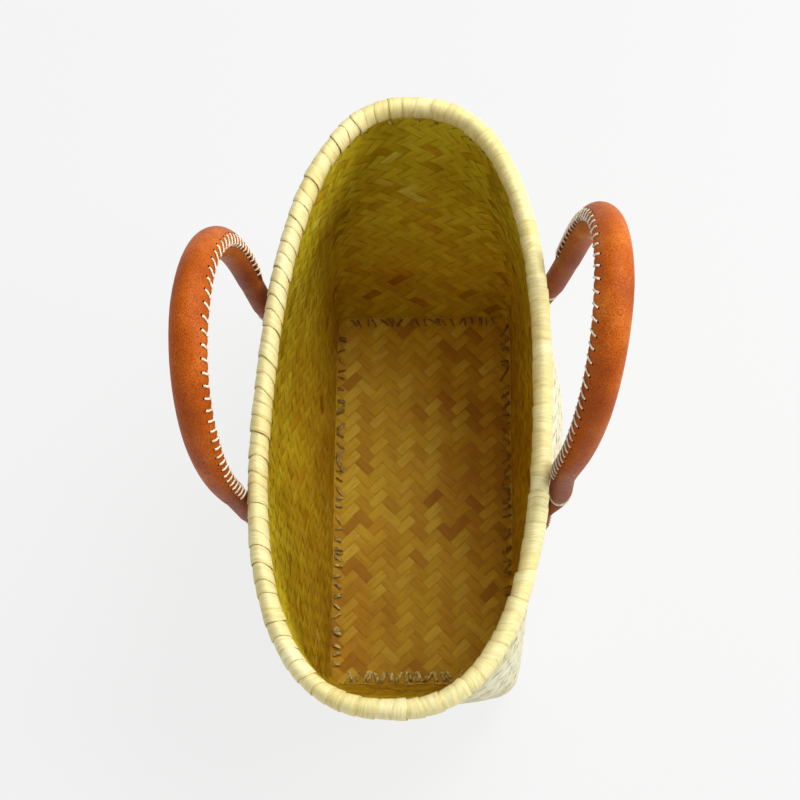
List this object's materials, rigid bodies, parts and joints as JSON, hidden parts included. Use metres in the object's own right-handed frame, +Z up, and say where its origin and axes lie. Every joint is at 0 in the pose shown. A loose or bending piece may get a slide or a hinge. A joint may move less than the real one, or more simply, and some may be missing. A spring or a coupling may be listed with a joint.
{
  "type": "woven market basket",
  "caption": "Oval open basket of plaited palm leaf with a wrapped rim, a sewn-in bottom mat and two rope-cored leather handles that bend at the rim.",
  "frame": {"origin": "middle of the bottom, on the surface the basket stands on", "axes": "+X along the mouth, -Y towards the front handle, +Z up"},
  "size_m": [0.4148, 0.2629, 0.4056],
  "materials": {
    "outer_plait": "matte",
    "inner_plait": "matte",
    "bottom_mat": "satin",
    "raffia": "matte",
    "cane": "matte",
    "rim_leaf": "satin",
    "rope": "matte",
    "leather": "satin",
    "thread": "matte"
  },
  "bodies": {
    "basket": {"woven_shell": "outer_plait", "wall_lining": "inner_plait", "base_liner": "bottom_mat", "base_stitching": "raffia", "rim_hoop": "cane", "rim_wrap": "rim_leaf", "rim_lashing": "raffia", "front_left_tab": "leather", "front_left_tab_thread": "thread", "front_right_tab": "leather", "front_right_tab_thread": "thread", "back_left_tab": "leather", "back_left_tab_thread": "thread", "back_right_tab": "leather", "back_right_tab_thread": "thread"},
    "front_handle": {"front_rope_core": "rope", "front_sleeve": "leather", "front_seam_thread": "thread"},
    "back_handle": {"back_rope_core": "rope", "back_sleeve": "leather", "back_seam_thread": "thread"}
  },
  "joints": [
    {"name": "front_handle_swing", "type": "hinge", "parent": "basket", "child": "front_handle", "pos_m": [0.0187, -0.103, 0.262], "axis": [1, 0, 0], "range_deg": [-53, 58], "stiffness_Nm_per_rad": 0.4, "springref_deg": -2.29},
    {"name": "back_handle_swing", "type": "hinge", "parent": "basket", "child": "back_handle", "pos_m": [-0.002, 0.103, 0.262], "axis": [-1, 0, 0], "range_deg": [-47, 64], "stiffness_Nm_per_rad": 0.4, "springref_deg": -1.15}
  ]
}
